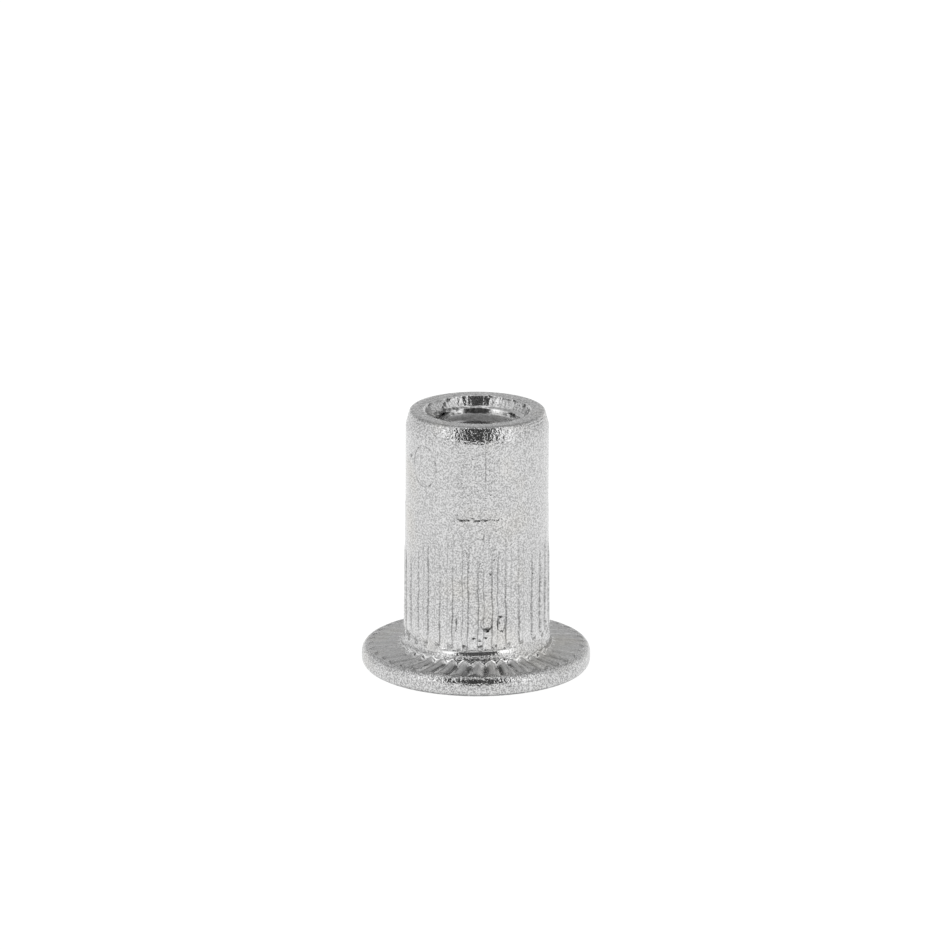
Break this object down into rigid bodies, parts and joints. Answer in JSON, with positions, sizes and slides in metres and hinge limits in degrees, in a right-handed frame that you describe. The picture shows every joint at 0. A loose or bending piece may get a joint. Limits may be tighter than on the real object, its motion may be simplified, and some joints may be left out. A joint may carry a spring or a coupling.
{
  "type": "rivet nut",
  "caption": "Open-end rivet nut with a flat head, a serrated face under the head, a ribbed thin-walled shank and a plain threaded end.",
  "frame": {"origin": "centre of the head's flat outer face, on which the nut stands", "axes": "+Z runs along the nut's axis from the head to the open threaded end; +X and +Y lie in the head's outer face"},
  "size_m": [0.011, 0.011, 0.0126],
  "materials": {
    "aluminium": "bright matte aluminium with a fine sandy grain, smoother on the pressed serrations and in the bore"
  },
  "bodies": {
    "root": {"rivet_nut": "aluminium"}
  },
  "joints": []
}
